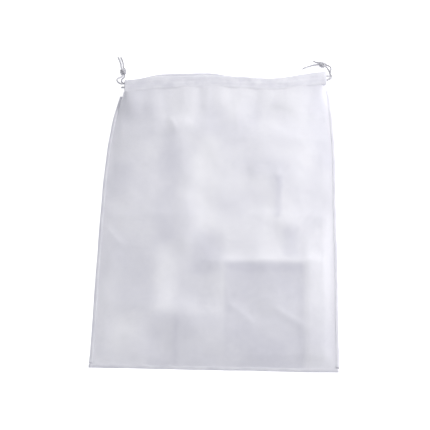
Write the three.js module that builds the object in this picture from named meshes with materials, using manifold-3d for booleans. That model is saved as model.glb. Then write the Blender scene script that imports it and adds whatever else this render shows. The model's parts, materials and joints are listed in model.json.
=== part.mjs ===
// Drawstring mesh produce bag, lying flat with its mouth towards +Y.
// The mouth lies a few degrees askew, its right end further out than its left.
// Millimetres, +Z up, origin on the table under the middle of the bag.
import * as THREE from 'three';
import { mergeVertices } from 'three/addons/utils/BufferGeometryUtils.js';
import Module from 'manifold-3d';

const wasm = await Module();
wasm.setup();

// Bag outline
const bagWidth = 300;
const bagHeight = 400;
const mouthInsetLeft = 20;
const mouthInsetRight = 12;
const mouthTilt = THREE.MathUtils.degToRad(3);
const cornerInsetLeft = 14;
const cornerInsetRight = 8;
const taperLength = 170;
const taperPower = 2.8;

// Cloth
const cloth = 0.8;
const gap = 0.3;
const loft = 12;
const bottomRise = 55;

// Seams and thread
const seamWidth = 5;
const seamHeight = 2.4;
const threadWidth = 0.8;
const threadHeight = 0.5;
const rowInset = 1.6;
const endRowInset = 4;

// Casing along each half of the mouth
const casingDepth = 18;
const hemLip = 3.2;
const frontSetBack = 6;
const mouthOpening = 6;

// Drawstrings
const cordDiameter = 2.5;
const cordClearance = 0.3;
const strandPitch = 6;
const bendOut = 4.5;
const knotLength = 11;
const knotWall = 1.6;
const cordSides = 8;
const cordSteps = 18;

const casingHeight = cordDiameter + 2 * cordClearance + 2 * cloth;
const casingLeft = -bagWidth / 2 + mouthInsetLeft;
const casingRight = bagWidth / 2 - mouthInsetRight;
const backCasingY = -casingDepth;
const frontCasingY = backCasingY - frontSetBack;
const frontCasingZ = casingHeight + mouthOpening;
const backStrandZ = casingHeight / 2;
const frontStrandZ = frontCasingZ + casingHeight / 2;
const strandSpread = cordDiameter + gap + 0.1;
const knotThick = cordDiameter + 2 * cordClearance + 2 * knotWall;
const knotWidth = knotThick + strandSpread;
const knotZ = knotThick / 2 + gap;

const colours = {
  mesh: 0xe4e4ee,
  hem: 0xe9e9f2,
  thread: 0xf4f4f8,
  cord: 0xdcdce6,
};

// The mouth group holds the casings and cords. Its X axis runs along the mouth's edge and
// its origin is the middle of that edge.
const bag = new THREE.Group();
const mouth = new THREE.Group();
mouth.position.y = bagHeight / 2;
mouth.rotation.z = mouthTilt;
bag.add(mouth);

// The right end of the mouth stands out, so the whole is moved back to centre its footprint.
bag.position.y = -(casingRight * Math.sin(mouthTilt)) / 2;

function addPiece(group, name, geometry, colour, roughness) {
  const material = new THREE.MeshStandardMaterial({ color: colour, roughness, metalness: 0 });
  const mesh = new THREE.Mesh(geometry, material);
  mesh.name = name;
  group.add(mesh);
  return mesh;
}

// Height in the bag of a line that lies at y in the mouth group, where it passes x.
function mouthLine(x, y) {
  return bagHeight / 2 + x * Math.tan(mouthTilt) + y / Math.cos(mouthTilt);
}

function cornerInset(side) {
  return side < 0 ? cornerInsetLeft : cornerInsetRight;
}

// Where the side seam ends below the casings.
function seamTop(side) {
  return mouthLine(side * (bagWidth / 2 - cornerInset(side)), frontCasingY - gap);
}

// The outer edge of the bag at height y, on side -1 (left) or 1 (right).
// The cords draw the upper part in, so the edge curves inwards towards the mouth.
function edgeX(y, side) {
  const t = Math.max(0, 1 + (y - seamTop(side)) / taperLength);
  return side * (bagWidth / 2 - cornerInset(side) * Math.pow(t, taperPower));
}

function stations(from, to, count) {
  return Array.from({ length: count + 1 }, (_, i) => from + ((to - from) * i) / count);
}

// A curve that passes straight from one listed point to the next.
// One extrusion step falls on each point, so long straights cost a single step.
class Route extends THREE.Curve {
  constructor(points) {
    super();
    this.points = points;
  }

  getPoint(t, target = new THREE.Vector3()) {
    const last = this.points.length - 1;
    const at = Math.min(last - 1, Math.floor(t * last));
    return target.lerpVectors(this.points[at], this.points[at + 1], t * last - at);
  }

  getUtoTmapping(u) {
    return u;
  }
}

function sweep(section, path, steps) {
  return new THREE.ExtrudeGeometry(section, { steps, extrudePath: path, curveSegments: 3 });
}

// Along a level path a section's x axis stands upright and its y axis lies across.
function upright(shape) {
  return new THREE.Shape(shape.getPoints(3).map((p) => new THREE.Vector2(p.y, -p.x)));
}

// One row of thread, laid flat on the cloth along a level path.
function threadRow(path, steps = 1) {
  const shape = new THREE.Shape();
  shape.moveTo(-threadHeight / 2, -threadWidth / 2);
  shape.lineTo(threadHeight / 2, -threadWidth / 2);
  shape.lineTo(threadHeight / 2, threadWidth / 2);
  shape.lineTo(-threadHeight / 2, threadWidth / 2);
  shape.closePath();
  return sweep(shape, path, steps);
}

// A flat strip's section: straight top and bottom, half-round edges.
function rolledEdge(width, height) {
  const r = height / 2;
  const half = width / 2 - r;
  const shape = new THREE.Shape();
  shape.moveTo(-half, -r);
  shape.lineTo(half, -r);
  shape.absarc(half, 0, r, -Math.PI / 2, Math.PI / 2, false);
  shape.lineTo(-half, r);
  shape.absarc(-half, 0, r, Math.PI / 2, (3 * Math.PI) / 2, false);
  return shape;
}

function roundSection(diameter, sides) {
  const points = [];
  for (let i = 0; i < sides; i += 1) {
    const angle = (2 * Math.PI * (i + 0.5)) / sides;
    points.push(new THREE.Vector2(Math.cos(angle), Math.sin(angle)).multiplyScalar(diameter / 2));
  }
  return new THREE.Shape(points);
}

// ---- Panels ----

const panelBottom = -bagHeight / 2 + seamWidth + gap;

// Height of the front panel's underside: it rises from the seams over a soft crown,
// and flattens out towards the mouth to meet the straight front casing.
function frontRise(across, along, y) {
  const lift = 1 - Math.pow(1 - Math.min(1, (y - panelBottom) / bottomRise), 2);
  const mouthShare = Math.pow(along, 3);
  const mouthLevel = frontCasingZ + casingHeight / 2 - cloth / 2 - (cloth + gap);
  const height = lift * (loft * (1 - mouthShare) + mouthLevel * mouthShare);
  const power = 2.4 + 12 * mouthShare;
  return cloth + gap + height * (1 - Math.pow(Math.abs(across), power));
}

// A sheet of cloth as one closed solid: a grid of points below, the same above, and a rim.
function sheet(columns, rows, place) {
  const positions = [];
  const indices = [];
  const perLayer = (columns + 1) * (rows + 1);
  for (const layer of [0, 1]) {
    for (let j = 0; j <= rows; j += 1) {
      for (let i = 0; i <= columns; i += 1) {
        const p = place((2 * i) / columns - 1, j / rows);
        positions.push(p.x, p.y, p.z + layer * cloth);
      }
    }
  }
  const at = (layer, i, j) => layer * perLayer + j * (columns + 1) + i;
  const quad = (a, b, c, d) => indices.push(a, b, c, a, c, d);
  for (let j = 0; j < rows; j += 1) {
    for (let i = 0; i < columns; i += 1) {
      quad(at(1, i, j), at(1, i + 1, j), at(1, i + 1, j + 1), at(1, i, j + 1));
      quad(at(0, i, j), at(0, i, j + 1), at(0, i + 1, j + 1), at(0, i + 1, j));
    }
  }
  for (let i = 0; i < columns; i += 1) {
    quad(at(0, i, 0), at(0, i + 1, 0), at(1, i + 1, 0), at(1, i, 0));
    quad(at(0, i + 1, rows), at(0, i, rows), at(1, i, rows), at(1, i + 1, rows));
  }
  for (let j = 0; j < rows; j += 1) {
    quad(at(0, 0, j + 1), at(0, 0, j), at(1, 0, j), at(1, 0, j + 1));
    quad(at(0, columns, j), at(0, columns, j + 1), at(1, columns, j + 1), at(1, columns, j));
  }
  const geometry = new THREE.BufferGeometry();
  geometry.setAttribute('position', new THREE.Float32BufferAttribute(positions, 3));
  geometry.setIndex(indices);
  geometry.computeVertexNormals();
  return geometry;
}

// A point inside the seams: across runs -1 to 1 from side to side, along 0 to 1 up the bag.
// The top edge lies at height top in the mouth group, so x and y settle together.
function panelPoint(across, along, top) {
  const p = new THREE.Vector3();
  for (let pass = 0; pass < 4; pass += 1) {
    p.y = panelBottom + along * (mouthLine(p.x, top) - panelBottom);
    const left = edgeX(p.y, -1) + seamWidth + gap;
    const right = edgeX(p.y, 1) - seamWidth - gap;
    p.x = left + ((across + 1) / 2) * (right - left);
  }
  return p;
}

function frontPoint(across, along) {
  const p = panelPoint(across, along, frontCasingY - gap);
  p.z = frontRise(across, along, p.y);
  return p;
}

function backPoint(across, along) {
  return panelPoint(across, along, backCasingY - gap);
}

addPiece(bag, 'front_panel', sheet(22, 24, frontPoint), colours.mesh, 0.85);
addPiece(bag, 'back_panel', sheet(1, 20, backPoint), colours.mesh, 0.85);

// ---- Seams ----

function sideRow(side, inset, z) {
  const heights = stations(panelBottom, seamTop(side), 20);
  return new Route(heights.map((y) => new THREE.Vector3(edgeX(y, side) - side * inset, y, z)));
}

function straight(from, to) {
  return new THREE.LineCurve3(from, to);
}

const threadZ = (top) => top + gap + threadHeight / 2;
const seamSection = upright(rolledEdge(seamWidth, seamHeight));

for (const [label, side] of [['left', -1], ['right', 1]]) {
  const seam = sweep(seamSection, sideRow(side, seamWidth / 2, seamHeight / 2), 20);
  addPiece(bag, `${label}_side_seam`, seam, colours.hem, 0.8);
  const row = sideRow(side, seamWidth - rowInset, threadZ(seamHeight));
  addPiece(bag, `${label}_seam_stitching`, threadRow(row, 20), colours.thread, 0.6);
}

const bottomSeamPath = straight(
  new THREE.Vector3(-bagWidth / 2, -bagHeight / 2 + seamWidth / 2, seamHeight / 2),
  new THREE.Vector3(bagWidth / 2, -bagHeight / 2 + seamWidth / 2, seamHeight / 2),
);
addPiece(bag, 'bottom_seam', sweep(seamSection, bottomSeamPath, 1), colours.hem, 0.8);

const bottomRowY = -bagHeight / 2 + seamWidth - rowInset;
const bottomRow = straight(
  new THREE.Vector3(-bagWidth / 2 + rowInset, bottomRowY, threadZ(seamHeight)),
  new THREE.Vector3(bagWidth / 2 - rowInset, bottomRowY, threadZ(seamHeight)),
);
addPiece(bag, 'bottom_seam_stitching', threadRow(bottomRow), colours.thread, 0.6);

// ---- Casings ----

// The hem of one panel, folded into a tunnel that is open at both ends.
// Its section stands in the YZ plane and runs along X.
function casing() {
  const outer = rolledEdge(casingDepth, casingHeight);
  const tunnelHeight = cordDiameter + 2 * cordClearance;
  const tunnelDepth = casingDepth - hemLip - cloth;
  const tunnel = rolledEdge(tunnelDepth, tunnelHeight);
  const shift = (hemLip - cloth) / 2;
  const hole = new THREE.Path(tunnel.getPoints(3).map((p) => new THREE.Vector2(p.x + shift, p.y)));
  outer.holes.push(hole);
  const geometry = new THREE.ExtrudeGeometry(outer, {
    depth: casingRight - casingLeft,
    bevelEnabled: false,
    curveSegments: 4,
  });
  geometry.rotateX(Math.PI / 2);
  geometry.rotateZ(Math.PI / 2);
  return geometry;
}

const casings = [
  { label: 'front', y: frontCasingY, z: frontCasingZ },
  { label: 'back', y: backCasingY, z: 0 },
];

for (const { label, y, z } of casings) {
  const hem = addPiece(mouth, `${label}_casing`, casing(), colours.hem, 0.8);
  hem.position.set(casingLeft, y + casingDepth / 2, z + casingHeight / 2);
  const rowZ = threadZ(z + casingHeight);
  const row = straight(
    new THREE.Vector3(casingLeft + rowInset, y + rowInset, rowZ),
    new THREE.Vector3(casingRight - rowInset, y + rowInset, rowZ),
  );
  addPiece(mouth, `${label}_casing_stitching`, threadRow(row), colours.thread, 0.6);
  for (const [end, x] of [['left', casingLeft + endRowInset], ['right', casingRight - endRowInset]]) {
    const endRow = straight(
      new THREE.Vector3(x, y + rowInset + threadWidth / 2 + gap, rowZ),
      new THREE.Vector3(x, y + casingDepth - casingHeight / 2, rowZ),
    );
    addPiece(mouth, `${label}_casing_${end}_hem_stitching`, threadRow(endRow), colours.thread, 0.6);
  }
}

// ---- Drawstrings ----

// Each drawstring runs through both casings in one long U. Its bend sits at the far end of
// the mouth and its two ends come out at its own end, where they are knotted together.
const cordSection = roundSection(cordDiameter, cordSides);
const tunnelMiddle = hemLip + (casingDepth - hemLip - cloth) / 2;

function strandY(casingY, lane) {
  return casingY + tunnelMiddle + (lane * strandPitch) / 2;
}

function casingEndX(side) {
  return side < 0 ? casingLeft : casingRight;
}

function drawstring(side, lane) {
  const near = casingEndX(side);
  const far = casingEndX(-side);
  const front = new THREE.Vector3(far, strandY(frontCasingY, lane), frontStrandZ);
  const back = new THREE.Vector3(far, strandY(backCasingY, lane), backStrandZ);
  const middle = front.clone().add(back).multiplyScalar(0.5);
  const half = front.clone().sub(middle);
  const points = [new THREE.Vector3(near, front.y, front.z)];
  for (let i = 0; i <= 8; i += 1) {
    const angle = (Math.PI * i) / 8;
    const p = middle.clone().addScaledVector(half, Math.cos(angle));
    p.x -= side * bendOut * Math.sin(angle);
    points.push(p);
  }
  points.push(new THREE.Vector3(near, back.y, back.z));
  return sweep(cordSection, new Route(points), points.length - 1);
}

function solid(geometry) {
  const bare = geometry.clone();
  bare.deleteAttribute('normal');
  bare.deleteAttribute('uv');
  const merged = mergeVertices(bare, 1e-4);
  const mesh = new wasm.Mesh({
    numProp: 3,
    vertProperties: Float32Array.from(merged.attributes.position.array),
    triVerts: Uint32Array.from(merged.index.array),
  });
  return new wasm.Manifold(mesh);
}

function fromSolid(shape) {
  const mesh = shape.getMesh();
  const geometry = new THREE.BufferGeometry();
  geometry.setAttribute('position', new THREE.Float32BufferAttribute(mesh.vertProperties, 3));
  geometry.setIndex(Array.from(mesh.triVerts));
  geometry.computeVertexNormals();
  return geometry;
}

// One free end: it leaves its casing, passes through the knot beside the other end, and runs on
// to the tip of its tail. Lead and tail points are measured from the mouth's corner on its side.
function freeEnd(tie, casingY, strandZ, lane, turn, lead, tail) {
  const corner = new THREE.Vector3(casingEndX(tie.side), 0, 0);
  const centre = corner.clone().add(tie.centre);
  const across = new THREE.Vector3(tie.heading.y, -tie.heading.x, 0);
  across.multiplyScalar((turn * strandSpread) / 2);
  const exit = new THREE.Vector3(corner.x + tie.side * gap, strandY(casingY, lane), strandZ);
  const inKnot = [-0.5, 0, 0.5].map((share) =>
    centre.clone().addScaledVector(tie.heading, share * knotLength).add(across),
  );
  const away = exit.clone();
  away.x += tie.side * (cordDiameter / 2);
  return new THREE.CatmullRomCurve3(
    [
      exit,
      away,
      ...lead.map((p) => p.clone().add(corner)),
      ...inKnot,
      ...tail.map((p) => p.clone().add(corner)),
    ],
    false,
    'centripetal',
  );
}

// The knot is one lump around both ends. Each end keeps its running clearance inside it.
function knot(tie, routes) {
  const lump = new THREE.CapsuleGeometry(knotThick / 2, knotLength - knotThick, 5, 14);
  lump.scale(knotWidth / knotThick, 1, 1);
  lump.rotateZ(Math.atan2(-tie.heading.x, tie.heading.y));
  lump.translate(casingEndX(tie.side) + tie.centre.x, tie.centre.y, tie.centre.z);
  let body = solid(lump);
  for (const route of routes) {
    const channel = sweep(roundSection(cordDiameter + 2 * cordClearance, cordSides), route, cordSteps);
    body = body.subtract(solid(channel));
  }
  return fromSolid(body);
}

const point = (x, y, z) => new THREE.Vector3(x, y, z);

const ties = [
  {
    label: 'left',
    side: -1,
    lane: 1,
    centre: point(-3.2, 12.6, knotZ),
    heading: point(-0.139, 0.9903, 0),
    front: {
      turn: -1,
      lead: [point(-5.6, -10.4, 12.6), point(-9.6, -6.8, 11.9), point(-9.9, -0.6, 8.9), point(-6.7, 2.6, 6)],
      tail: [point(-7, 27, 2.2), point(-10.4, 36.2, 1.8)],
    },
    back: {
      turn: 1,
      lead: [point(-4, -3.7, 2.4), point(-5.3, -1.1, 2.3), point(-4.5, 1.8, 2.1), point(-1.8, 4.8, 2.7)],
      tail: [point(-3.5, 27.2, 2.2), point(-6.6, 36.2, 1.8)],
    },
  },
  {
    label: 'right',
    side: 1,
    lane: -1,
    centre: point(-3.2, 12.2, knotZ),
    heading: point(-0.941, 0.3384, 0),
    front: {
      turn: 1,
      lead: [point(5.2, -15.3, 12.9), point(7.7, -11.5, 11.2), point(6.6, -4.2, 6.9), point(7.7, 6.3, 5.2)],
      tail: [point(-10.9, 16.6, 2.6), point(-14.1, 19.2, 1.8)],
    },
    back: {
      turn: -1,
      lead: [point(3.9, -9.9, 2.5), point(6.7, -6.4, 2.3), point(6.6, -1, 1.8), point(4.5, 4.4, 3.1)],
      tail: [point(-14.9, 12.6, 2.4), point(-21.6, 11.2, 1.9), point(-28.4, 8.8, 1.8)],
    },
  },
];

for (const tie of ties) {
  addPiece(mouth, `${tie.label}_drawstring`, drawstring(tie.side, tie.lane), colours.cord, 0.7);
  const routes = [
    freeEnd(tie, frontCasingY, frontStrandZ, tie.lane, tie.front.turn, tie.front.lead, tie.front.tail),
    freeEnd(tie, backCasingY, backStrandZ, tie.lane, tie.back.turn, tie.back.lead, tie.back.tail),
  ];
  const ends = routes.map((route) => sweep(cordSection, route, cordSteps));
  addPiece(mouth, `${tie.label}_drawstring_front_end`, ends[0], colours.cord, 0.7);
  addPiece(mouth, `${tie.label}_drawstring_back_end`, ends[1], colours.cord, 0.7);
  addPiece(mouth, `${tie.label}_drawstring_knot`, knot(tie, routes), colours.cord, 0.7);
}

export default bag;
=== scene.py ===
import json
import math

import bpy
import numpy as np
from mathutils import Matrix, Vector


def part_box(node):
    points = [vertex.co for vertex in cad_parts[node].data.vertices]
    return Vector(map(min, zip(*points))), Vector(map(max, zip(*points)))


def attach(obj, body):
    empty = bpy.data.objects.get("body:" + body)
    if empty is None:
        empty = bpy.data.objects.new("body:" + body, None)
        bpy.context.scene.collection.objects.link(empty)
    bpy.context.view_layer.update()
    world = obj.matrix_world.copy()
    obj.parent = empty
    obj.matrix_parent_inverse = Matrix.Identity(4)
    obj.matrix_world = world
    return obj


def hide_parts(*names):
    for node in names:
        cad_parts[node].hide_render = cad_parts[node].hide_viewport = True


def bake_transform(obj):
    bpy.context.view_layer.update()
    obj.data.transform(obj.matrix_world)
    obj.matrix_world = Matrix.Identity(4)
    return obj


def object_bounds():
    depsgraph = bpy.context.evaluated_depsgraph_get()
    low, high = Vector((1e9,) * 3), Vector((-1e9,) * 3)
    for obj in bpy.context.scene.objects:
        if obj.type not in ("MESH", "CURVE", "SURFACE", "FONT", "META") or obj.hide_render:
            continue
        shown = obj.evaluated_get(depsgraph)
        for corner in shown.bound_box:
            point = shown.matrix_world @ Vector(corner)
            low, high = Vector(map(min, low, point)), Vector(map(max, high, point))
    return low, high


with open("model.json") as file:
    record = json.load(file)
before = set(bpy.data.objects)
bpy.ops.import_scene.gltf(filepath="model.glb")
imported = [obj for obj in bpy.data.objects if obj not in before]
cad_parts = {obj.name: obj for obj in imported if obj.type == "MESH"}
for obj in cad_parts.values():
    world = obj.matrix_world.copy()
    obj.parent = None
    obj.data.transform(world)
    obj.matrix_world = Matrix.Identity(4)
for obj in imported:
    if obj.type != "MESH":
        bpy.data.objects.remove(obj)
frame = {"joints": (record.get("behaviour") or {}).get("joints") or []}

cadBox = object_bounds()
mm = 0.001
print("frame loaded")


def boxOf(node):
    low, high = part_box(node)
    return Vector(low), Vector(high)


# The mouth lies askew, so its casings' boxes give its line, its ends and its depth.
pullAxis = next(j for j in frame["joints"] if j["name"] == "right_drawstring_pull")["axis"]
tilt = math.atan2(pullAxis[1], pullAxis[0])
cosTilt = math.cos(tilt)
sinTilt = math.sin(tilt)


def mouthFrame():
    low, high = boxOf("back_casing")
    spanX = high.x - low.x
    spanY = high.y - low.y
    shrink = cosTilt ** 2 - sinTilt ** 2
    depth = (spanY * cosTilt - spanX * sinTilt) / shrink
    length = (spanX * cosTilt - spanY * sinTilt) / shrink
    right = (high.x - depth * sinTilt) / cosTilt
    return {
        "depth": depth,
        "right": right,
        "left": right - length,
        "y": high.y - right * sinTilt,
    }


mouth = mouthFrame()
frontLow, frontHigh = boxOf("front_casing")
backLow, backHigh = boxOf("back_casing")
mouth["setBack"] = (backHigh.y - frontHigh.y) / cosTilt
mouth["frontZ"] = (frontLow.z + frontHigh.z) / 2
mouth["backZ"] = (backLow.z + backHigh.z) / 2

bottomLow, bottomHigh = boxOf("bottom_seam")
seamWidth = bottomHigh.y - bottomLow.y
seamHeight = bottomHigh.z - bottomLow.z
halfWidth = bottomHigh.x
bottomY = bottomLow.y

sideSeams = {-1: boxOf("left_side_seam"), 1: boxOf("right_side_seam")}
cornerInset = {side: box[1].x - box[0].x - seamWidth for side, box in sideSeams.items()}
seamTop = {side: box[1].y for side, box in sideSeams.items()}

sideTaper = {"reach": 170 * mm, "power": 2.8}
cloth = {
    "thick": 0.5 * mm,
    "step": 2.0 * mm,
    "tuck": 1.2 * mm,
    "length": 385 * mm,
    "cutShare": 0.95,
}


def fromMouth(x, y, z):
    # mouth lengths to the bag's frame; works on numbers and arrays
    return np.stack(np.broadcast_arrays(
        x * cosTilt - y * sinTilt,
        mouth["y"] + x * sinTilt + y * cosTilt,
        z,
    ), axis=-1).astype(float)


def mouthLine(x, y):
    # height in the bag of the line at y in the mouth, where it passes x
    return mouth["y"] + x * math.tan(tilt) + y / cosTilt


def edgeX(y, side):
    t = np.maximum(0, 1 + (y - seamTop[side]) / sideTaper["reach"])
    return side * (halfWidth - cornerInset[side] * t ** sideTaper["power"])


cameraSettings = {
    "azimuth": 6.2,
    "elevation": 67.8,
    "roll": -4.9,
    "distance": 1.29,
    "aim": (-0.004, -0.0029, 0),
    "lens": 85,
    "sensor": 36,
}


def setCamera(s):
    az = math.radians(s["azimuth"])
    el = math.radians(s["elevation"])
    roll = math.radians(s["roll"])
    back = Vector((math.sin(az) * math.cos(el), -math.cos(az) * math.cos(el), math.sin(el)))
    right = Vector((math.cos(az), math.sin(az), 0))
    up = back.cross(right)
    rolledRight = right * math.cos(roll) + up * math.sin(roll)
    rolledUp = up * math.cos(roll) - right * math.sin(roll)
    turn = Matrix((rolledRight, rolledUp, back)).transposed().to_4x4()
    data = bpy.data.cameras.new("camera")
    data.lens = s["lens"]
    data.sensor_width = s["sensor"]
    data.clip_start = 0.05
    data.clip_end = 20
    camera = bpy.data.objects.new("camera", data)
    camera.matrix_world = Matrix.Translation(Vector(s["aim"]) + back * s["distance"]) @ turn
    bpy.context.scene.collection.objects.link(camera)
    bpy.context.scene.camera = camera


setCamera(cameraSettings)
print("camera set")


class Link:
    # a node's output that can be used in sums
    def __init__(self, finish, socket):
        self.finish = finish
        self.socket = socket

    def __add__(self, other):
        return self.finish.maths("ADD", self, other)

    def __radd__(self, other):
        return self.finish.maths("ADD", other, self)

    def __sub__(self, other):
        return self.finish.maths("SUBTRACT", self, other)

    def __rsub__(self, other):
        return self.finish.maths("SUBTRACT", other, self)

    def __mul__(self, other):
        return self.finish.maths("MULTIPLY", self, other)

    def __rmul__(self, other):
        return self.finish.maths("MULTIPLY", other, self)

    def __truediv__(self, other):
        return self.finish.maths("DIVIDE", self, other)

    def __rtruediv__(self, other):
        return self.finish.maths("DIVIDE", other, self)


class Finish:
    # one material and the nodes that make it
    def __init__(self, name):
        self.material = bpy.data.materials.new(name)
        self.material.use_nodes = True
        self.tree = self.material.node_tree
        self.tree.nodes.clear()

    def node(self, kind, settings, inputs, output=0):
        # output None gives a list of all the node's outputs
        made = self.tree.nodes.new(kind)
        for key, value in settings.items():
            setattr(made, key, value)
        for key, value in inputs.items():
            if isinstance(value, Link):
                self.tree.links.new(value.socket, made.inputs[key])
            else:
                made.inputs[key].default_value = value
        if output is None:
            return [Link(self, socket) for socket in made.outputs]
        return Link(self, made.outputs[output])

    def maths(self, operation, a, b=0.0):
        return self.node("ShaderNodeMath", {"operation": operation}, {0: a, 1: b})

    def surface(self, **values):
        # the shader, with _ for the spaces in its sockets' names
        inputs = {name.replace("_", " "): value for name, value in values.items()}
        shader = self.node("ShaderNodeBsdfPrincipled", {}, inputs)
        self.node("ShaderNodeOutputMaterial", {}, {"Surface": shader}, None)
        return self.material

    def place(self, turn=0.0):
        # where a point lies on the bag, turned about the vertical
        where = self.node("ShaderNodeTexCoord", {}, {}, "Object")
        where = self.node("ShaderNodeVectorRotate", {"rotation_type": "Z_AXIS"}, {
            "Vector": where, "Angle": turn})
        return where, self.node("ShaderNodeSeparateXYZ", {}, {0: where}, None)

    def doubledAndPaintedShade(self):
        # soft-edged blocks of painted shade and painted highlight, and of cloth doubled beneath, added
        # up, wavering a little so that no edge is ruled
        where, (x, y, z) = self.place()
        waver = (self.patches(where, edgeWaver["size"]) - 0.5) * edgeWaver["reach"]
        total = 0.0
        for (midX, midY), (halfX, halfY), soft, amount in layeredAndPaintedShadeBlocks:
            share = soft / edgeWaver["fullAt"]
            offX = self.maths("ABSOLUTE", x - midX * mm + waver * share)
            offY = self.maths("ABSOLUTE", y - midY * mm - waver * share)
            inX = self.spread(offX, (halfX - soft) * mm, (halfX + soft) * mm, 1, 0)
            inY = self.spread(offY, (halfY - soft) * mm, (halfY + soft) * mm, 1, 0)
            total = inX * inY * amount + total
        return total

    def patches(self, where, size, detail=2.0):
        return self.node("ShaderNodeTexNoise", {}, {
            "Vector": where, "Scale": 1 / size, "Detail": detail, "Roughness": 0.5})

    def spread(self, value, low, high, outLow=0, outHigh=1):
        return self.node("ShaderNodeMapRange", {"interpolation_type": "SMOOTHSTEP"}, {
            0: value, 1: low, 2: high, 3: outLow, 4: outHigh})

    def tint(self, factor, dark, light):
        # each colour is three numbers or a link
        dark, light = (c if isinstance(c, Link) else (*c, 1) for c in (dark, light))
        return self.node("ShaderNodeMix", {"data_type": "RGBA"}, {0: factor, 6: dark, 7: light}, 2)

    def relief(self, height, distance):
        return self.node("ShaderNodeBump", {}, {
            "Height": height, "Distance": distance, "Strength": 1.0})

    def yarns(self, along, pitch):
        # 0 between two yarns to 1 at a yarn's middle
        return self.maths("PINGPONG", along / pitch, 0.5) * 2


meshFinish = {
    "pitch": 0.72 * mm,
    "dark": (0.68, 0.68, 0.755),
    "light": (0.92, 0.92, 0.96),
    "gap": (0.66, 0.66, 0.73),
    "yarnFrom": 0.30,
    "yarnFull": 0.52,
    "openAlpha": 0.22,
    "patch": 50 * mm,
    "slub": 5 * mm,
    "tone": 0.40,
    "patchShare": 0.34,
    "slubShare": 0.12,
    "relief": {"yarn": 0.6, "crossing": 0.4, "slub": 0.3},
    "bump": 0.10 * mm,
    "rough": 0.78,
    "roughSlub": 0.14,
    "sheen": 0.25,
}

# how the painted shade blocks' edges wander, and the edge softness at which they wander that far
edgeWaver = {"size": 26 * mm, "reach": 14 * mm, "fullAt": 14}

# Shade and highlight painted into the mesh cloth's colour in blocks, where the cloth beneath touches or
# is doubled and where its folds are shaded:
# middle, half size and edge softness in millimetres, and how much darker it is painted there, less than 0
# for a painted highlight.
layeredAndPaintedShadeBlocks = [
    ((60, -136), (48, 67), 5, 0.38),
    ((60, -76), (46, 5), 5, 0.26),
    ((-11, -58), (20, 27), 7, 0.27),
    ((-100, 62), (46, 60), 24, 0.12),
    ((-64, 34), (12, 76), 10, 0.20),
    ((-106, -80), (20, 46), 16, 0.20),
    ((-104, 158), (34, 34), 22, 0.16),
    ((76, 20), (4.5, 28), 4, 0.44),
    ((92, -42), (9, 20), 7, 0.34),
    ((54, 62), (40, 12), 12, 0.20),
    ((-4, 128), (12, 16), 9, 0.20),
    ((36, 120), (18, 22), 14, 0.16),
    ((-47, -172), (3, 34), 4, 0.22),
    ((-34, -170), (46, 33), 7, 0.22),
    ((138, 130), (18, 66), 12, 0.22),
    ((138, -20), (20, 90), 14, 0.12),
    ((132, -160), (22, 44), 12, 0.18),
    ((-16, 40), (15, 62), 10, -0.30),
    ((-62, -88), (13, 44), 8, -0.20),
    ((16, 165), (22, 34), 16, -0.18),
    ((-108, -162), (14, 28), 9, -0.20),
    ((-84, 88), (12, 12), 9, -0.16),
]


def meshCloth(name, turn, s):
    f = Finish(name)
    where, (x, y, z) = f.place(turn)
    warp = f.spread(f.yarns(x, s["pitch"]), s["yarnFrom"], s["yarnFull"])
    weft = f.spread(f.yarns(y, s["pitch"]), s["yarnFrom"], s["yarnFull"])
    yarn = f.maths("MAXIMUM", warp, weft)
    patch = f.spread(f.patches(where, s["patch"], 1.5), 0.25, 0.75)
    slub = f.spread(f.patches(where, s["slub"]), 0.3, 0.7)
    # the cloth's own tone, darkened by the painted shade blocks and lightened by the painted highlight
    # blocks
    light = patch * s["patchShare"] + slub * s["slubShare"] + s["tone"] - f.doubledAndPaintedShade()
    rise = s["relief"]
    height = yarn * rise["yarn"] + warp * weft * rise["crossing"] + slub * rise["slub"]
    return f.surface(
        Base_Color=f.tint(yarn, s["gap"], f.tint(light, s["dark"], s["light"])),
        Roughness=s["rough"] + slub * s["roughSlub"],
        Alpha=s["openAlpha"] + yarn * (1 - s["openAlpha"]),
        Normal=f.relief(height, s["bump"]),
        Sheen_Weight=s["sheen"],
        Sheen_Roughness=0.5,
        Specular_IOR_Level=0.25,
    )


hemFinish = {
    "pitch": 0.55 * mm,
    "dark": (0.73, 0.73, 0.795),
    "light": (0.83, 0.83, 0.88),
    "gap": (0.66, 0.66, 0.73),
    "patch": 14 * mm,
    "bump": 0.12 * mm,
    "rough": 0.76,
    "roughPatch": 0.14,
    "sheen": 0.3,
}


def hemCloth(name, s):
    f = Finish(name)
    where, (x, y, z) = f.place()
    yarn = f.maths("MAXIMUM", f.yarns(x, s["pitch"]), f.yarns(y + z, s["pitch"]))
    patch = f.spread(f.patches(where, s["patch"], 3.0), 0.3, 0.7)
    tone = f.tint(patch, s["dark"], s["light"])
    return f.surface(
        Base_Color=f.tint(f.spread(yarn, 0.2, 0.7), s["gap"], tone),
        Roughness=s["rough"] + patch * s["roughPatch"],
        Normal=f.relief(yarn + patch * 0.8, s["bump"]),
        Sheen_Weight=s["sheen"],
        Sheen_Roughness=0.5,
        Specular_IOR_Level=0.25,
    )


threadFinish = {
    "dark": (0.70, 0.70, 0.75),
    "light": (0.92, 0.92, 0.95),
    "ply": 0.5 * mm,
    "fuzz": 1.5 * mm,
    "bump": 0.05 * mm,
}


def sewingThread(name, s):
    f = Finish(name)
    where, (x, y, z) = f.place()
    ply = f.yarns(x + y, s["ply"])
    fuzz = f.patches(where, s["fuzz"], 3.0)
    return f.surface(
        Base_Color=f.tint(ply * 0.6 + fuzz * 0.4, s["dark"], s["light"]),
        Roughness=0.5 + fuzz * 0.25,
        Normal=f.relief(ply, s["bump"]),
        Sheen_Weight=0.2,
    )


cordFinish = {
    "dark": (0.42, 0.42, 0.46),
    "light": (0.68, 0.68, 0.72),
    "plait": 0.55 * mm,
    "patch": 4 * mm,
    "bump": 0.12 * mm,
}


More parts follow.
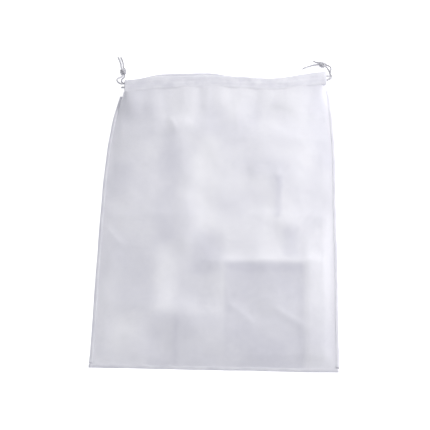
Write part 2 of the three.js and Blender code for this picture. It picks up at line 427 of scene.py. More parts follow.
def cordYarn(name, s):
    f = Finish(name)
    where, (x, y, z) = f.place(0.6)
    lay = f.yarns(x + y * 0.6 + z, s["plait"])
    over = f.yarns(x - y * 0.6 - z, s["plait"])
    plait = f.maths("MAXIMUM", lay, over)
    patch = f.spread(f.patches(where, s["patch"], 3.0), 0.3, 0.7)
    return f.surface(
        Base_Color=f.tint(plait * 0.55 + patch * 0.45, s["dark"], s["light"]),
        Roughness=0.68 + patch * 0.2,
        Normal=f.relief(plait, s["bump"]),
        Sheen_Weight=0.3,
        Specular_IOR_Level=0.3,
    )


finishes = {
    "mesh": meshCloth("mesh_front", 0.0, meshFinish),
    "meshBack": meshCloth("mesh_back", math.radians(45), meshFinish),
    "hem": hemCloth("hem_cloth", hemFinish),
    "thread": sewingThread("sewing_thread", threadFinish),
    "cord": cordYarn("cord_yarn", cordFinish),
}
print("finishes made")


def makePiece(name, vertices, faces, finish):
    mesh = bpy.data.meshes.new(name)
    mesh.from_pydata([tuple(v) for v in vertices], [], faces)
    mesh.validate()
    mesh.polygons.foreach_set("use_smooth", [True] * len(mesh.polygons))
    mesh.materials.append(finishes[finish])
    mesh.update()
    piece = bpy.data.objects.new(name, mesh)
    bpy.context.scene.collection.objects.link(piece)
    return piece


def gridFaces(rows, columns, start=0, flip=False, wrap=False):
    faces = []
    last = columns if wrap else columns - 1
    for j in range(rows - 1):
        for i in range(last):
            k = (i + 1) % columns
            a = start + j * columns + i
            b = start + j * columns + k
            quad = (a, b, b + columns, a + columns)
            faces.append(quad[::-1] if flip else quad)
    return faces


def clothSkin(name, grid, finish):
    # a single skin, as the cloth is only a few tenths of a millimetre thick
    rows, columns = grid.shape[:2]
    return makePiece(name, grid.reshape(-1, 3), gridFaces(rows, columns), finish)


def ringStack(rings):
    # rings of equal count joined into a closed tube with a fan at each end
    rings = np.asarray(rings)
    count, sides = rings.shape[:2]
    faces = gridFaces(count, sides, wrap=True)
    points = list(rings.reshape(-1, 3))
    first = len(points)
    points.append(rings[0].mean(axis=0))
    points.append(rings[-1].mean(axis=0))
    for i in range(sides):
        k = (i + 1) % sides
        faces.append((first, k, i))
        base = (count - 1) * sides
        faces.append((first + 1, base + i, base + k))
    return points, faces


def joined(name, parts, finish):
    points = []
    faces = []
    for partPoints, partFaces in parts:
        shift = len(points)
        points.extend(partPoints)
        faces.extend(tuple(k + shift for k in face) for face in partFaces)
    return makePiece(name, points, faces, finish)


def lengthsAlong(path):
    return np.concatenate([[0], np.cumsum(np.linalg.norm(np.diff(path, axis=0), axis=1))])


def evenly(path, step):
    # the same line with its points a step apart
    run = lengthsAlong(path)
    count = max(2, int(round(run[-1] / step)) + 1)
    at = np.linspace(0, run[-1], count)
    return np.stack([np.interp(at, run, path[:, k]) for k in range(3)], axis=1)


def framesAlong(path):
    # a tangent and two cross directions at each point, carried along without twist
    tangent = np.gradient(path, axis=0)
    tangent /= np.linalg.norm(tangent, axis=1)[:, None]
    across = np.zeros_like(path)
    first = np.cross(tangent[0], (0, 0, 1))
    if np.linalg.norm(first) < 0.1:
        first = np.cross(tangent[0], (1, 0, 0))
    across[0] = first / np.linalg.norm(first)
    for i in range(1, len(path)):
        a = across[i - 1] - tangent[i] * np.dot(across[i - 1], tangent[i])
        across[i] = a / np.linalg.norm(a)
    return tangent, across, np.cross(tangent, across)


def anglesRound(sides):
    return np.linspace(0, 2 * math.pi, sides, endpoint=False)


def ringRound(centre, across, up, angles, radius):
    # radius is one number, or one for each angle
    return centre + np.outer(radius * np.cos(angles), across) + np.outer(radius * np.sin(angles), up)


def roundTube(line, radii, sides):
    tangent, across, up = framesAlong(line)
    angles = anglesRound(sides)
    return ringStack([ringRound(p, across[k], up[k], angles, radii[k]) for k, p in enumerate(line)])


twist = {"strands": 3, "lay": 7 * mm, "groove": 0.16, "endReach": 0.6 * mm, "endSize": 0.82}


def twistedCord(path, radius, sides=18, lay=twist["lay"]):
    # rings whose lobes turn about the line, as twisted strands do
    tangent, across, up = framesAlong(path)
    run = lengthsAlong(path)
    angles = anglesRound(sides)
    rings = []
    for i, centre in enumerate(path):
        fromEnd = min(run[i], run[-1] - run[i])
        shrink = twist["endSize"] + (1 - twist["endSize"]) * min(1, fromEnd / twist["endReach"])
        lobe = np.abs(np.cos(twist["strands"] / 2 * (angles - 2 * math.pi * run[i] / lay)))
        r = radius * shrink * (1 - twist["groove"] + twist["groove"] * lobe)
        rings.append(ringRound(centre, across[i], up[i], angles, r))
    return ringStack(rings)


def smoothLine(points, count):
    # centripetal Catmull-Rom through given points, each stretch with the same number of steps
    p = [np.array(q, float) for q in points]
    p = [2 * p[0] - p[1]] + p + [2 * p[-1] - p[-2]]
    line = []
    for i in range(1, len(p) - 2):
        before, here, after = (
            max(1e-9, np.linalg.norm(p[i + k] - p[i + k - 1])) ** 0.5 for k in range(3))
        slopeA = here * ((p[i] - p[i - 1]) / before - (p[i + 1] - p[i - 1]) / (before + here)
                         + (p[i + 1] - p[i]) / here)
        slopeB = here * ((p[i + 1] - p[i]) / here - (p[i + 2] - p[i]) / (here + after)
                         + (p[i + 2] - p[i + 1]) / after)
        for w in np.linspace(0, 1, count, endpoint=False):
            line.append(
                p[i] * (2 * w ** 3 - 3 * w ** 2 + 1) + slopeA * (w ** 3 - 2 * w ** 2 + w)
                + p[i + 1] * (3 * w ** 2 - 2 * w ** 3) + slopeB * (w ** 3 - w ** 2))
    line.append(p[-2])
    return np.array(line)


cordSize = {
    "diameter": 2.5 * mm,
    "strandPitch": 6 * mm,
    "tunnelMiddle": 10.2 * mm,
    "bendOut": 4.5 * mm,
    "spread": 2.9 * mm,
    "ringStep": 0.55 * mm,
    "loopStep": 1.3 * mm,
    "loopSides": 14,
    "strandPoints": 120,
    "bendPoints": 13,
    "exitOut": 0.3 * mm,
    "steps": 14,
}
knotSize = {
    "length": 11 * mm,
    "z": 3.45 * mm,
    "turns": 3.1,
    "wrap": 1.05 * mm,
    "lay": 5 * mm,
    "lean": 0.6 * mm,
    "under": 0.2 * mm,
    "slimEnds": 0.86,
    "widen": 0.75,
    "ends": 3.6,
    "steps": 110,
    "sides": 14,
    "ringStep": 0.6 * mm,
}
bridgeSize = {  # the last turn, as shares of the knot's width, height and length
    "wide": 0.55,
    "low": 0.55,
    "long": 1.02,
    "over": 1.1,
    "thick": 0.9,
    "arch": 0.6,
    "steps": 24,
}

# lead and tail points are measured from the mouth's corner on that side, in millimetres
ties = [
    {
        "label": "left", "side": -1, "lane": 1,
        "centre": (-3.2, 12.6), "heading": (-0.139, 0.9903),
        "front": {
            "turn": -1,
            "lead": [(-5.6, -10.4, 12.6), (-9.6, -6.8, 11.9), (-9.9, -0.6, 8.9), (-6.7, 2.6, 6)],
            "tail": [(-7, 27, 2.2), (-10.4, 36.2, 1.8)],
        },
        "back": {
            "turn": 1,
            "lead": [(-4, -3.7, 2.4), (-5.3, -1.1, 2.3), (-4.5, 1.8, 2.1), (-1.8, 4.8, 2.7)],
            "tail": [(-3.5, 27.2, 2.2), (-6.6, 36.2, 1.8)],
        },
    },
    {
        "label": "right", "side": 1, "lane": -1,
        "centre": (-3.2, 12.2), "heading": (-0.941, 0.3384),
        "front": {
            "turn": 1,
            "lead": [(5.2, -15.3, 12.9), (7.7, -11.5, 11.2), (6.6, -4.2, 6.9), (7.7, 6.3, 5.2)],
            "tail": [(-10.9, 16.6, 2.6), (-14.1, 19.2, 1.8)],
        },
        "back": {
            "turn": -1,
            "lead": [(3.9, -9.9, 2.5), (6.7, -6.4, 2.3), (6.6, -1, 1.8), (4.5, 4.4, 3.1)],
            "tail": [(-14.9, 12.6, 2.4), (-21.6, 11.2, 1.9), (-28.4, 8.8, 1.8)],
        },
    },
]


# The mouth stands forward in one long hump on its left, beside a shoulder at the left end,
# and falls back in a dip on its right: middle and reach in millimetres, and how square it is.
mouthShape = {
    "hump": (-45, 48, 4),
    "shoulder": (-94, 20, 2),
    "dip": (68, 36, 2),
    "corner": (mouth["right"] / mm, 30, 2),
}
# how far each line of the mouth follows them, in millimetres
mouthWaves = {
    "backTop": {"hump": 7, "dip": -5, "corner": 2.2, "shoulder": 3.2},
    "frontTop": {"hump": 2.5, "dip": -5, "corner": 2.2, "shoulder": 3.2},
    "backHem": {"hump": 2, "dip": -4, "shoulder": 1.6},
    "frontHem": {"hump": 3, "dip": -5, "shoulder": 1.6},
    "tunnel": {"hump": 2, "dip": -3},
}


def waveAt(line, x):
    total = 0.0
    for name, height in mouthWaves[line].items():
        middle, reach, power = mouthShape[name]
        total = total + height * np.exp(-((x / mm - middle) / reach) ** power)
    return mm * total


def hemBase(which):
    # the lower edge of a casing without its waves, in the mouth's own lengths
    return -mouth["depth"] - (mouth["setBack"] if which == "front" else 0)


def strandY(which, lane):
    return hemBase(which) + cordSize["tunnelMiddle"] + lane * cordSize["strandPitch"] / 2


def mouthEnd(side):
    return mouth["right"] if side > 0 else mouth["left"]


def mouthZ(which):
    return mouth["frontZ"] if which == "front" else mouth["backZ"]


def freeEndLine(tie, which):
    # from the casing's end, through the knot beside the other end, to the tip of the tail
    end = tie[which]
    cornerX = mouthEnd(tie["side"])
    z = mouthZ(which)
    exitX = cornerX + tie["side"] * cordSize["exitOut"]
    awayX = exitX + tie["side"] * cordSize["diameter"] / 2
    y = strandY(which, tie["lane"])
    heading = tie["heading"]
    side = end["turn"] * cordSize["spread"] / 2
    inKnot = []
    for share in (-0.5, 0, 0.5):
        inKnot.append((
            cornerX + tie["centre"][0] * mm + share * knotSize["length"] * heading[0] + side * heading[1],
            tie["centre"][1] * mm + share * knotSize["length"] * heading[1] - side * heading[0],
            knotSize["z"],
        ))
    lead, tail = ([(cornerX + p[0] * mm, p[1] * mm, p[2] * mm) for p in end[k]] for k in ("lead", "tail"))
    local = smoothLine([(exitX, y, z), (awayX, y, z)] + lead + inKnot + tail, cordSize["steps"])
    return fromMouth(local[:, 0], local[:, 1], local[:, 2])


fray = {
    "count": 11,
    "length": (1.0 * mm, 2.2 * mm),
    "radius": 0.22 * mm,
    "taper": 0.5,
    "back": 1.2 * mm,
    "rootOut": 0.55 * mm,
    "fan": 0.22,
    "fanRange": (0.4, 1.2),
    "turnRange": (-0.3, 0.3),
    "droop": 1.3 * mm,
    "points": 7,
    "sides": 6,
}


def frayedTip(name, path, seed):
    # loose yarns that fan out of a cut end and droop
    rng = np.random.RandomState(seed)
    tangent, across, up = framesAlong(path)
    ahead = tangent[-1]
    shares = np.linspace(0, 1, fray["points"])
    radii = fray["radius"] * (1 - fray["taper"] * shares)
    parts = []
    for i in range(fray["count"]):
        angle = 2 * math.pi * i / fray["count"] + rng.uniform(*fray["turnRange"])
        out = across[-1] * math.cos(angle) + up[-1] * math.sin(angle)
        reach = rng.uniform(*fray["length"])
        fan = fray["fan"] * rng.uniform(*fray["fanRange"])
        line = []
        for t in shares:
            p = path[-1] - ahead * fray["back"] + out * fray["rootOut"]
            p = p + ahead * (fray["back"] + reach) * t + out * reach * fan * t * t
            p[2] = max(p[2] - fray["droop"] * t * t, fray["radius"] * 1.3)
            line.append(p)
        parts.append(roundTube(np.array(line), radii, fray["sides"]))
    return joined(name, parts, "cord")


def tiedKnot(name, tie):
    # one cord laid in close turns round both strands, its last turn crossing the others
    k = knotSize
    b = bridgeSize
    heading = tie["heading"]
    cornerX = mouthEnd(tie["side"])
    centre = fromMouth(cornerX + tie["centre"][0] * mm, tie["centre"][1] * mm, k["z"])
    ahead = fromMouth(heading[0], heading[1], 0.0) - fromMouth(0.0, 0.0, 0.0)
    across = np.array([ahead[1], -ahead[0], 0.0])
    upward = np.array([0, 0, 1])
    wide = cordSize["spread"] / 2 + cordSize["diameter"] / 2 + k["wrap"] * k["widen"]
    tall = k["z"] - k["wrap"] - k["under"]
    run = k["length"] - k["ends"] * k["wrap"]
    turns = []
    for t in np.linspace(0, 1, k["steps"] + 1):
        angle = 2 * math.pi * k["turns"] * t
        bulge = k["slimEnds"] + (1 - k["slimEnds"]) * math.sin(math.pi * t)
        along = (t - 0.5) * run + k["lean"] * math.sin(angle)
        turns.append(centre + ahead * along + across * wide * bulge * math.cos(angle)
                     + upward * tall * bulge * math.sin(angle))
    bridge = []
    for t in np.linspace(0, 1, b["steps"]):
        rise = math.sin(math.pi * t) ** b["arch"] * (tall * (1 - b["low"]) + k["wrap"] * b["over"])
        bridge.append(centre + ahead * (t - 0.5) * run * b["long"]
                      + across * wide * b["wide"] * math.cos(math.pi * t)
                      + upward * (tall * b["low"] + rise))
    parts = []
    for line, radius in ((turns, k["wrap"]), (bridge, k["wrap"] * b["thick"])):
        path = evenly(np.array(line), k["ringStep"])
        parts.append(twistedCord(path, radius, sides=k["sides"], lay=k["lay"]))
    return joined(name, parts, "cord")


def loopLine(tie):
    # out along the front casing, round the far end, and back along the back casing
    near = mouthEnd(tie["side"])
    far = mouthEnd(-tie["side"])
    front, back = (np.array([far, strandY(w, tie["lane"]), mouthZ(w)]) for w in ("front", "back"))
    middle = (front + back) / 2
    half = front - middle

    def strand(y, z):
        xs = np.linspace(near, far, cordSize["strandPoints"])
        return np.stack([xs, y + waveAt("tunnel", xs), np.full_like(xs, z)], axis=1)

    bend = []
    for angle in np.linspace(0, math.pi, cordSize["bendPoints"])[1:-1]:
        p = middle + half * math.cos(angle)
        p[0] -= tie["side"] * cordSize["bendOut"] * math.sin(angle)
        bend.append(p)
    local = np.concatenate([strand(front[1], front[2]), bend, strand(back[1], back[2])[::-1]])
    return fromMouth(local[:, 0], local[:, 1], local[:, 2])


def makeDrawstring(tie):
    label = tie["label"]
    body = f"{label}_drawstring"
    radius = cordSize["diameter"] / 2
    line = evenly(loopLine(tie), cordSize["loopStep"])
    loop = makePiece(f"{label}_cord_loop", *twistedCord(line, radius, cordSize["loopSides"]), "cord")
    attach(loop, body)
    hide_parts(f"{label}_drawstring")
    knot = tiedKnot(f"{label}_cord_knot", tie)
    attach(knot, body)
    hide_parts(f"{label}_drawstring_knot")
    for n, which in enumerate(("front", "back")):
        path = evenly(freeEndLine(tie, which), cordSize["ringStep"])
        end = makePiece(f"{label}_cord_{which}_end", *twistedCord(path, radius), "cord")
        tip = frayedTip(f"{label}_cord_{which}_fray", path, 11 + n + 5 * tie["side"])
        for piece in (end, tip):
            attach(piece, body)
        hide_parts(f"{label}_drawstring_{which}_end")


for tie in ties:
    makeDrawstring(tie)
print("drawstrings laid")


noise = {"lattice": 64, "turn": (0.35, 0.21), "shift": (32.3, 31.7)}


def eased(share):
    # 0 to 1 with a soft start and end
    t = np.clip(share, 0, 1)
    return t * t * (3 - 2 * t)


def gentleNoise(x, y, size, seed):
    # smooth value noise on a square lattice, from -1 to 1, each seed turned its own way
    sides = noise["lattice"]
    lattice = np.random.RandomState(seed).uniform(-1, 1, (sides, sides))
    turn = noise["turn"][0] + noise["turn"][1] * (seed % 5)
    u = (x * math.cos(turn) + y * math.sin(turn)) / size + noise["shift"][0]
    v = (y * math.cos(turn) - x * math.sin(turn)) / size + noise["shift"][1]
    i = np.floor(u).astype(int)
    j = np.floor(v).astype(int)
    a = eased(u - i)
    b = eased(v - j)
    left, right = np.mod(i, sides), np.mod(i + 1, sides)
    below, above = np.mod(j, sides), np.mod(j + 1, sides)
    low = lattice[left, below] * (1 - a) + lattice[right, below] * a
    high = lattice[left, above] * (1 - a) + lattice[right, above] * a
    return low * (1 - b) + high * b


# Packing folds: from and to in millimetres, height as a share of the fold height,
# and the slope's width in millimetres on the left of the line and on its right.
folds = [
    ((6, -70), (114, -67), 2.4, 10, 52),
    ((114, -52), (116, -198), 1.8, 60, 11),
    ((14, -78), (16, -196), 0.4, 20, 9),
    ((-33, -30), (12, -86), 0.6, 24, 34),
    ((-52, 114), (-34, -34), 1.3, 60, 20),
    ((75, 48), (77, -8), 0.8, 26, 10),
    ((46, 52), (74, 50), 0.8, 12, 16),
    ((93, -20), (95, -66), 0.9, 18, 20),
    ((-148, 103), (-70, 108), 0.7, 14, 26),
    ((20, 101), (148, 103), 0.7, 14, 20),
    ((-148, -9), (-38, -8), 0.7, 10, 22),
    ((60, -6), (148, -5), 0.9, 12, 14),
    ((-148, -119), (-34, -137), 0.7, 14, 20),
    ((22, -127), (42, -142), 0.45, 5, 8),
    ((79, -131), (104, -147), 0.5, 5, 8),
    ((-144, -22), (-124, -42), 0.6, 4, 7),
    ((-47, -137), (-46, -203), 0.35, 18, 9),
    ((92, 68), (104, 20), 0.5, 14, 16),
    ((-92, 150), (-88, 116), 0.4, 16, 13),
    ((-62, 160), (-40, 112), 0.5, 24, 26),
    ((-64, 124), (-58, 112), 0.5, 4, 6),
    ((18, 176), (22, 120), 1.0, 24, 22),
    ((84, 172), (78, 150), 0.7, 16, 14),
    ((-120, 60), (-112, -60), 1.0, 30, 26),
    ((60, 120), (110, 96), 0.6, 14, 16),
    ((-100, -160), (-70, -110), 0.8, 18, 18),
]

# how the front cloth lies
lie = {
    "atSeam": 0.72,
    "loft": 6.5 * mm,
    "bottomRise": 55 * mm,
    "mouthPower": 4,
    "square": {"body": 2.4, "mouth": 2, "lip": 80, "lipPower": 36},
    "lipGap": 0.22 * mm,
    "edge": 16 * mm,
    "bottomEdge": 14 * mm,
    "topEdge": 26 * mm,
    "layers": [  # size, height and seed of each noise
        (52 * mm, 1.7 * mm, 20),
        (24 * mm, 0.8 * mm, 21),
        (9 * mm, 0.12 * mm, 22),
    ],
    "foldEnd": 20,
    "foldHeight": 1.6 * mm,
}
gather = {
    "size": 13 * mm,
    "height": 0.7 * mm,
    "reach": 46 * mm,
    "start": 3 * mm,
    "long": 0.12,
    "narrowing": 1.6,
    "seed": 31,
}
underside = {
    "gap": 0.15 * mm,
    "ripples": [(31 * mm, 0.3 * mm, 44), (9 * mm, 0.25 * mm, 45)],  # size, height and seed
    "edge": 10 * mm,
    "rise": 8 * mm,
    "lipGap": 0.25 * mm,
}
casing = {
    "step": 1.6 * mm,
    "wall": 0.45 * mm,
    "lip": 2.3 * mm,
    "lipHalf": 0.42 * mm,
    "fullHalf": 2.12 * mm,
    "openFrom": 0.4,
    "opening": 7.5 * mm,
    "closing": 2.6 * mm,
    "flat": 0.8,
    "ridge": (1.5 * mm, 0.16 * mm),  # reach and height over each strand
    "pucker": (5.5 * mm, 0.16 * mm, 61),  # size, height and seed
    "puckerLong": 0.4,
    "wrinkle": (11 * mm, 0.35 * mm, 71),
    "profile": 26,
    "tunnelEnds": 8,
}
lipOffset = casing["flat"] * (casing["fullHalf"] - casing["lipHalf"])


def foldHeight(x, y):
    # x and y in millimetres
    total = np.zeros_like(x)
    for (x0, y0), (x1, y1), height, left, right in folds:
        length = math.hypot(x1 - x0, y1 - y0)
        dx = (x1 - x0) / length
        dy = (y1 - y0) / length
        along = (x - x0) * dx + (y - y0) * dy
        off = (y - y0) * dx - (x - x0) * dy
        width = np.where(off > 0, left, right)
        past = np.maximum(0, np.maximum(-along, along - length))
        sharp = np.exp(-np.abs(off) / width) * 0.3 + np.exp(-(off / width) ** 2) * 0.7
        fade = min(lie["foldEnd"], 0.3 * length)
        total += height * sharp * np.exp(-(past / fade) ** 2)
    return total * lie["foldHeight"]


def casingBottom(which, x):
    return hemBase(which) + waveAt(f"{which}Hem", x)


def panelGrid(which, side):
    # points of one half of a cloth, from the middle out to the seam and from the bottom up
    rows = int(round(cloth["length"] / cloth["step"])) + 1
    columns = int(round(halfWidth / cloth["step"])) + 1
    across = np.linspace(0, 1, columns)[None, :] * np.ones((rows, 1))
    along = np.linspace(0, 1, rows)[:, None] * np.ones((1, columns))
    low = bottomY + seamWidth - cloth["tuck"]
    x = side * across * halfWidth
    for settle in range(5):
        top = mouthLine(x, casingBottom(which, x) + cloth["tuck"])
        y = low + along * (top - low)
        x = side * across * (np.abs(edgeX(y, side)) - seamWidth + cloth["tuck"])
    return x, y, across, along, top


def frontHeight(x, y, across, along, top):
    # height of the front cloth's underside
    low = bottomY + seamWidth
    lift = 1 - (1 - np.clip((y - low) / lie["bottomRise"], 0, 1)) ** 2
    mouthShare = along ** lie["mouthPower"]
    rest = seamHeight * lie["atSeam"]
    mouthLevel = mouth["frontZ"] + lipOffset + lie["lipGap"] - rest
    crown = lift * (lie["loft"] * (1 - mouthShare) + mouthLevel * mouthShare)
    square = lie["square"]
    power = square["body"] + square["mouth"] * mouthShare + square["lip"] * along ** square["lipPower"]
    body = crown * (1 - across ** power)
    nearEdge = eased((1 - across) * halfWidth / lie["edge"])
    nearBottom = np.clip((y - low) / lie["bottomEdge"], 0, 1)
    fade = nearEdge * nearBottom * eased((top - y) / lie["topEdge"])
    waves = foldHeight(x / mm, y / mm)
    for size, height, seed in lie["layers"]:
        waves = waves + height * gentleNoise(x, y, size, seed)
    below = top - y
    spreading = x * (1 + gather["narrowing"] * below)
    pleat = gentleNoise(spreading, y * gather["long"], gather["size"], gather["seed"])
    pleat = gather["height"] * pleat * np.exp(-(below / gather["reach"]) ** 2)
    return rest + body + fade * waves + pleat * nearEdge * np.clip(below / gather["start"], 0, 1)


def backHeight(x, y, across, along, top):
    # the back cloth lies on the table and only ripples
    ripple = 0.0
    for size, height, seed in underside["ripples"]:
        ripple = ripple + height * (1 + gentleNoise(x, y, size, seed))
    edge = np.clip((1 - across) * halfWidth / underside["edge"], 0, 1)
    rise = np.clip(1 - (top - y) / underside["rise"], 0, 1) ** 2
    lip = mouth["backZ"] - lipOffset - underside["lipGap"]
    return underside["gap"] + ripple * edge * (1 - rise) + rise * lip


# For each cord, a span on the far half of the mouth: from the mouth's middle, square to the line toward
# that half's bottom corner, out to the nearer end of the mouth there.
pullers = {1: "left_drawstring", -1: "right_drawstring"}
blendFrom = 7 * mm


def blendSpan(side):
    start = Vector((0, mouth["y"] + blendFrom, 0))
    corner = Vector((side * halfWidth, bottomY, 0))
    run = (corner - start).normalized()
    across = Vector((-run.y * side, run.x * side, 0))
    if across.x * side < 0:
        across = -across
    endY = (0.0, hemBase("front"))
    ends = [Vector(fromMouth(mouthEnd(side), y, 0.0)) for y in endY]
    return start, start + across * min((p - start).dot(across) for p in ends)


blendSpans = {side: blendSpan(side) for side in pullers}


def bendsWith(piece):
    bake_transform(piece)


sideNames = {-1: "left", 1: "right"}


def makePanels():
    for which, height in (("front", frontHeight), ("back", backHeight)):
        for side in (-1, 1):
            x, y, across, along, top = panelGrid(which, side)
            z = height(x, y, across, along, top)
            grid = np.stack([x, y, z + cloth["thick"] / 2], axis=-1)
            if side < 0:
                grid = grid[:, ::-1]
            finish = "mesh" if which == "front" else "meshBack"
            piece = clothSkin(f"{which}_cloth_{sideNames[side]}", grid, finish)
            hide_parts(f"{which}_panel")
            length = float(y.max() - y.min())
            bendsWith(piece)


makePanels()
print("cloth laid")


def casingShape(up, depth, strands):
    # half the casing's thickness at a height above its lower edge, and how far its middle
    # stands off there, as the outer layer runs on flat and the inner one makes the tunnel
    opening = eased((up - casing["lip"] * casing["openFrom"]) / casing["opening"])
    closing = np.clip((depth - up) / casing["closing"], 0, 1)
    closing = np.sqrt(1 - (1 - closing) ** 2)
    half = casing["lipHalf"] + (casing["fullHalf"] - casing["lipHalf"]) * opening
    offset = casing["flat"] * (casing["fullHalf"] - half)
    reach, height = casing["ridge"]
    for strand in strands:
        half = half + height * np.exp(-((up - strand) / reach) ** 2)
    return half * closing, offset


def closedProfile(y, lower, upper):
    # along the lower side and back along the upper one, sharing both ends
    return np.stack([np.append(y, y[-2:0:-1]), np.append(lower, upper[-2:0:-1])], axis=1)


def casingProfiles(which, x):
    # the casing's outline and its tunnel's, cut across at x
    front = which == "front"
    share = (1 - np.cos(np.linspace(0, math.pi, casing["profile"]))) / 2
    bottom = casingBottom(which, x)
    depth = hemBase(which) + mouth["depth"] + waveAt(f"{which}Top", x) - bottom
    up = share * depth
    y = bottom + up
    strands = [strandY(which, lane) - bottom + waveAt("tunnel", x) for lane in (-1, 1)]
    half, offset = casingShape(up, depth, strands)
    here = np.full_like(up, x)
    size, height, seed = casing["pucker"]
    pucker = height * gentleNoise(here, up * casing["puckerLong"], size, seed + (not front))
    size, height, seed = casing["wrinkle"]
    wrinkle = height * gentleNoise(here, up, size, seed + (not front))
    body = np.sin(math.pi * share)
    lift = wrinkle * body + offset if front else np.abs(wrinkle * body) - offset
    lowerLift = lift if front else -offset
    z = mouthZ(which)
    outline = closedProfile(y, z - half + lowerLift, z + half + pucker * body + lift)
    wall = casing["wall"]
    yIn = bottom + casing["lip"] + share * (depth - wall - casing["lip"])
    roundEnds = np.sqrt(np.maximum(0, 1 - (2 * share - 1) ** casing["tunnelEnds"]))
    halfIn = np.maximum(0, np.interp(yIn, y, half) - wall) * roundEnds
    lowerIn = z - halfIn + np.interp(yIn, y, lowerLift)
    hole = closedProfile(yIn, lowerIn, z + halfIn + np.interp(yIn, y, lift))
    return outline, hole


def makeCasing(which, side):
    endX = mouthEnd(side)
    xs = np.linspace(0, endX, int(abs(endX) / casing["step"]) + 1)
    if side < 0:
        xs = xs[::-1]
    layers = zip(*(casingProfiles(which, x) for x in xs))
    points = []
    for layer in layers:
        for x, profile in zip(xs, layer):
            points.extend(fromMouth(np.full(len(profile), x), profile[:, 0], profile[:, 1]))
    sides = len(points) // (2 * len(xs))
    total = len(xs) * sides
    faces = gridFaces(len(xs), sides, wrap=True)
    faces += gridFaces(len(xs), sides, total, flip=True, wrap=True)
    last = (len(xs) - 1) * sides
    for i in range(sides):
        k = (i + 1) % sides
        if side > 0:
            faces.append((last + i, last + k, total + last + k, total + last + i))
        else:
            faces.append((k, i, total + i, total + k))
    piece = makePiece(f"{which}_casing_{sideNames[side]}", points, faces, "hem")
    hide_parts(f"{which}_casing")
    bendsWith(piece)


for which in ("front", "back"):
    for side in (-1, 1):
        makeCasing(which, side)
print("casings folded")


seam = {
    "step": 2.2 * mm,
    "sway": (26 * mm, 0.45 * mm),  # size and height
    "puff": (7 * mm, 0.16 * mm, 82),  # size, height and seed
    "sides": 20,
    "slim": 0.12 * mm,
    "sideRound": 0.45,
    "topRound": 0.8,
    "outerFall": 0.55,
    "innerFall": 0.42,
    "cornerGap": 0.3 * mm,
}


def seamStrip(path, outward):
    # a folded strip with round edges, swaying a little and puffed between its stitches
    half = seamWidth / 2
    size, height, seed = seam["puff"]
    upward = np.array([0, 0, 1])
    rings = []
    for i, centre in enumerate(path):
        puff = height * gentleNoise(centre[0], centre[1], size, seed)
        ring = []
        for angle in anglesRound(seam["sides"]):
            c = math.cos(angle)
            s = math.sin(angle)
            reach = half * np.sign(c) * abs(c) ** seam["sideRound"]
            thick = seamHeight / 2 - seam["slim"] + puff * max(0, s)
            thick = thick * np.sign(s) * abs(s) ** seam["topRound"]
            slump = seam["outerFall"] if reach > 0 else seam["innerFall"]
            fall = 1 - slump * (reach / half) ** 2
            ring.append(centre + outward[i] * reach + upward * thick * fall)
        rings.append(ring)
    return ringStack(rings)


def makeSideSeam(side):
    low = bottomY + seamWidth + seam["cornerGap"]
    y = np.arange(low, seamTop[side], seam["step"])
    size, height = seam["sway"]
    sway = height * gentleNoise(np.full_like(y, side * 0.15), y, size, 81)
    x = edgeX(y, side) - side * (seamWidth / 2 - sway)
    path = np.stack([x, y, np.full_like(y, seamHeight / 2)], axis=1)
    slope = np.gradient(x, y)
    outward = np.stack([np.full_like(y, side), -slope * side, np.zeros_like(y)], axis=1)
    outward /= np.linalg.norm(outward, axis=1)[:, None]
    name = sideNames[side]
    strip = seamStrip(path[::side], outward[::side])
    piece = makePiece(f"{name}_seam_fold", *strip, "hem")
    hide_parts(f"{name}_side_seam")
    bendsWith(piece)
    return path, outward


def makeBottomSeam():
    x = np.arange(-halfWidth, halfWidth, seam["step"])
    size, height = seam["sway"]
    sway = height * gentleNoise(x, np.full_like(x, -0.2), size, 83)
    path = np.stack([x, bottomY + seamWidth / 2 + sway, np.full_like(x, seamHeight / 2)], axis=1)
    outward = np.tile(np.array([0.0, -1.0, 0.0]), (len(x), 1))
    piece = makePiece("bottom_seam_fold", *seamStrip(path, outward), "hem")
    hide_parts("bottom_seam")
    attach(piece, "bag")
    return path


sidePaths = {side: makeSideSeam(side) for side in (-1, 1)}
bottomPath = makeBottomSeam()
print("seams folded")


stitch = {
    "length": 2.5 * mm,
    "gap": 0.7 * mm,
    "radius": 0.24 * mm,
    "slimEnds": 0.25,
    "proud": 0.16 * mm,
    "dive": 0.45 * mm,
    "points": 7,
    "sides": 8,
    "rowStep": 0.9 * mm,
}


def stitchParts(path):
    # short arcs of thread laid end to end along a line on the cloth
    run = lengthsAlong(path)
    pitch = stitch["length"] + stitch["gap"]
    count = max(1, int(run[-1] / pitch))
    start = (run[-1] - count * pitch + stitch["gap"]) / 2
    t = np.linspace(-1, 1, stitch["points"])
    radii = stitch["radius"] * (1 - stitch["slimEnds"] * t ** 4)
    parts = []
    for n in range(count):
        at = start + n * pitch + np.linspace(0, stitch["length"], stitch["points"])
        line = np.stack([np.interp(at, run, path[:, k]) for k in range(3)], axis=1)
        line[:, 2] += stitch["proud"] - (stitch["proud"] + stitch["dive"]) * t ** 6
        parts.append(roundTube(line, radii, stitch["sides"]))
    return parts


def surfaceTops(piece, path):
    # drop a line of points onto a finished piece from well above it
    result = np.array(path, float)
    for i, p in enumerate(result):
        above = Vector((p[0], p[1], 30 * mm))
        hit, where, normal, face = piece.ray_cast(above, Vector((0, 0, -1)))
        if hit:
            result[i, 2] = where.z
    return result


def sewRow(name, path, onto, side, node):
    path = surfaceTops(bpy.data.objects[onto], evenly(path, stitch["rowStep"]))
    piece = joined(name, stitchParts(path), "thread")
    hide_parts(node)
    if side:
        bendsWith(piece)
    else:
        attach(piece, "bag")


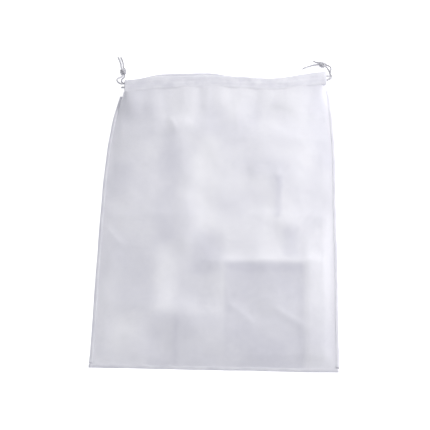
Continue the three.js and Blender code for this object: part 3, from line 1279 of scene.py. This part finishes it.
# how far the rows stand from the edges that they hold
rows = {"inset": 1.6 * mm, "endInset": 4 * mm, "lowEnd": 2.3 * mm, "topEnd": 2.4 * mm}

for side, (path, outward) in sidePaths.items():
    name = sideNames[side]
    row = path - outward * (seamWidth / 2 - rows["inset"])
    sewRow(f"{name}_seam_thread", row[2:-1], f"{name}_seam_fold", side, f"{name}_seam_stitching")

bottomRow = bottomPath + np.array([0, seamWidth / 2 - rows["inset"], 0])
sewRow("bottom_seam_thread", bottomRow[1:-1], "bottom_seam_fold", 0, "bottom_seam_stitching")

for which in ("front", "back"):
    for side in (-1, 1):
        name = sideNames[side]
        onto = f"{which}_casing_{name}"
        xs = np.linspace(0, mouthEnd(side) - side * rows["inset"], 90)
        row = fromMouth(xs, casingBottom(which, xs) + rows["inset"], 0.0)
        sewRow(f"{which}_casing_thread_{name}", row, onto, side, f"{which}_casing_stitching")
        x = mouthEnd(side) - side * rows["endInset"]
        ys = casingBottom(which, x) + np.linspace(rows["lowEnd"], mouth["depth"] - rows["topEnd"], 12)
        row = fromMouth(np.full_like(ys, x), ys, 0.0)
        node = f"{which}_casing_{name}_hem_stitching"
        sewRow(f"{which}_casing_end_thread_{name}", row, onto, side, node)
print("stitches sewn")


stage = {
    "size": 6.0,
    "drop": 0.05 * mm,
    "fibre": 3 * mm,
    "floor": (0.93, 0.93, 0.94),
    "grain": (0.92, 0.92, 0.93),
    "glow": 0.60,
    "world": 0.46,
    "sky": (0.97, 0.98, 1.0, 1),
}
lights = [
    {
        "name": "key", "at": (1.0, 0.62, 0.72), "size": 0.7,
        "power": 17.6, "colour": (1.0, 0.985, 0.98),
    },
    {
        "name": "fill", "at": (-1.1, -0.9, 1.5), "size": 1.5,
        "power": 6.5, "colour": (0.95, 0.95, 1.0),
    },
]


def makeStage():
    f = Finish("floor_paper")
    where = f.place()[0]
    paper = f.surface(
        Base_Color=f.tint(f.patches(where, stage["fibre"], 3.0), stage["grain"], stage["floor"]),
        Roughness=0.9,
        Emission_Color=(1, 1, 1, 1),
        Emission_Strength=stage["glow"],
    )
    half = stage["size"] / 2
    z = cadBox[0][2] - stage["drop"]
    mesh = bpy.data.meshes.new("floor")
    corners = [(-half, -half, z), (half, -half, z), (half, half, z), (-half, half, z)]
    mesh.from_pydata(corners, [], [(0, 1, 2, 3)])
    mesh.materials.append(paper)
    floor = bpy.data.objects.new("floor", mesh)
    bpy.context.scene.collection.objects.link(floor)
    world = bpy.data.worlds.new("studio")
    world.use_nodes = True
    sky = world.node_tree.nodes["Background"].inputs
    sky["Color"].default_value = stage["sky"]
    sky["Strength"].default_value = stage["world"]
    bpy.context.scene.world = world
    for s in lights:
        data = bpy.data.lights.new(s["name"], "AREA")
        data.energy = s["power"]
        data.size = s["size"]
        data.color = s["colour"]
        lamp = bpy.data.objects.new(s["name"], data)
        lamp.location = s["at"]
        lamp.rotation_euler = (-Vector(s["at"])).to_track_quat("-Z", "Y").to_euler()
        bpy.context.scene.collection.objects.link(lamp)
    bpy.context.scene.view_settings.view_transform = "Standard"


makeStage()
print("stage lit")
